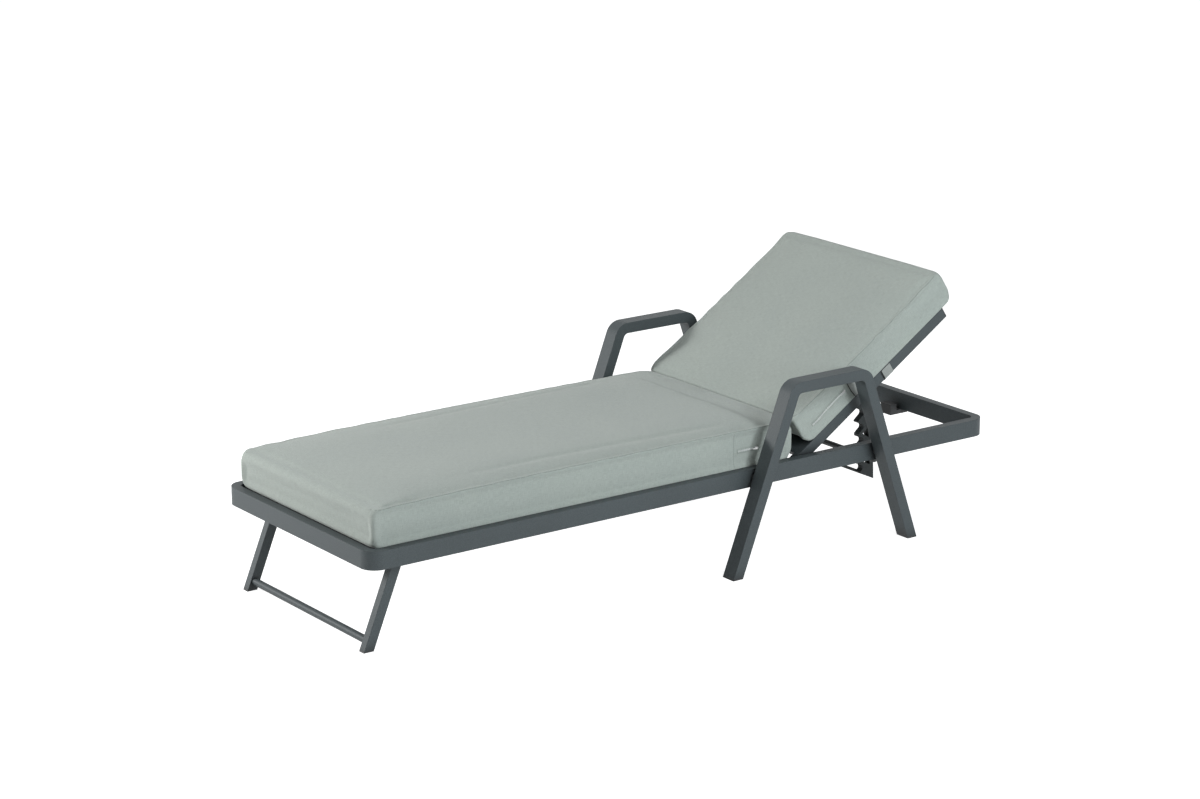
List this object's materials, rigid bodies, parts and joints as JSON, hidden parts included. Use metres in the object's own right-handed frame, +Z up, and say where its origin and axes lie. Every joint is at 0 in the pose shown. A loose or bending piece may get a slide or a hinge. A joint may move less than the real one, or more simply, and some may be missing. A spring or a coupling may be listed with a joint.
{
  "type": "spa relaxation lounger",
  "caption": "Adjustable relaxation lounger on a bent aluminium tube frame with two armrest frames, splayed foot legs, a hinged backrest held by a toothed prop, and thick grey cushions.",
  "frame": {"origin": "on the floor under the middle of the frame", "axes": "+X towards the head end, +Z up, +Y to the sitter's right when the sitter's feet point to -X"},
  "size_m": [2, 0.806, 0.6876],
  "materials": {
    "coated_aluminium": "anthracite powder coat, fine texture",
    "coated_steel": "anthracite powder coat",
    "black_plastic": "moulded, matte",
    "zinc_steel": "zinc plated",
    "cushion_fabric": "woven outdoor fabric over foam",
    "webbing": "woven webbing"
  },
  "bodies": {
    "base": {"arm_bolts": "zinc_steel", "arm_foot_caps": "black_plastic", "arm_inserts": "zinc_steel", "arm_spacers": "black_plastic", "catch_screws": "zinc_steel", "foot_bow": "coated_aluminium", "foot_stretcher": "coated_aluminium", "head_bow": "coated_aluminium", "head_catch": "black_plastic", "hinge_bolts": "zinc_steel", "hinge_inserts": "zinc_steel", "left_armrest_frame": "coated_aluminium", "left_foot_leg": "coated_aluminium", "left_side_rail": "coated_aluminium", "leg_beam": "coated_aluminium", "leg_foot_caps": "black_plastic", "prop_rest_bar": "coated_steel", "right_armrest_frame": "coated_aluminium", "right_foot_leg": "coated_aluminium", "right_side_rail": "coated_aluminium", "seat_cushion": "cushion_fabric", "seat_slat_1": "coated_aluminium", "seat_slat_2": "coated_aluminium", "seat_slat_3": "coated_aluminium", "seat_slat_4": "coated_aluminium", "seat_slat_5": "coated_aluminium", "seat_slat_6": "coated_aluminium", "seat_slat_7": "coated_aluminium", "seat_slat_8": "coated_aluminium"},
    "backrest": {"left_back_tube": "coated_aluminium", "right_back_tube": "coated_aluminium", "back_top_tube": "coated_aluminium", "back_tube_caps": "black_plastic", "back_slat_1": "coated_aluminium", "back_slat_2": "coated_aluminium", "back_slat_3": "coated_aluminium", "back_slat_4": "coated_aluminium", "hinge_bushes": "black_plastic", "prop_pivot_bar": "coated_steel", "prop_collars": "black_plastic", "left_cushion_strap": "webbing", "right_cushion_strap": "webbing", "back_cushion": "cushion_fabric"},
    "prop": {"left_prop_arm": "black_plastic", "right_prop_arm": "black_plastic", "prop_cross_panel": "black_plastic"}
  },
  "joints": [
    {"name": "backrest_recline", "type": "hinge", "parent": "base", "child": "backrest", "pos_m": [0.345, 0, 0.249], "axis": [0, -1, 0], "range_deg": [-32.4, 0]},
    {"name": "prop_swing", "type": "hinge", "parent": "backrest", "child": "prop", "pos_m": [0.68262, 0, 0.46359], "axis": [0, -1, 0], "range_deg": [0, 87.5]}
  ],
  "couplings": [
    {"joint": "prop_swing", "follows": "backrest_recline", "ratio": -2.7}
  ]
}
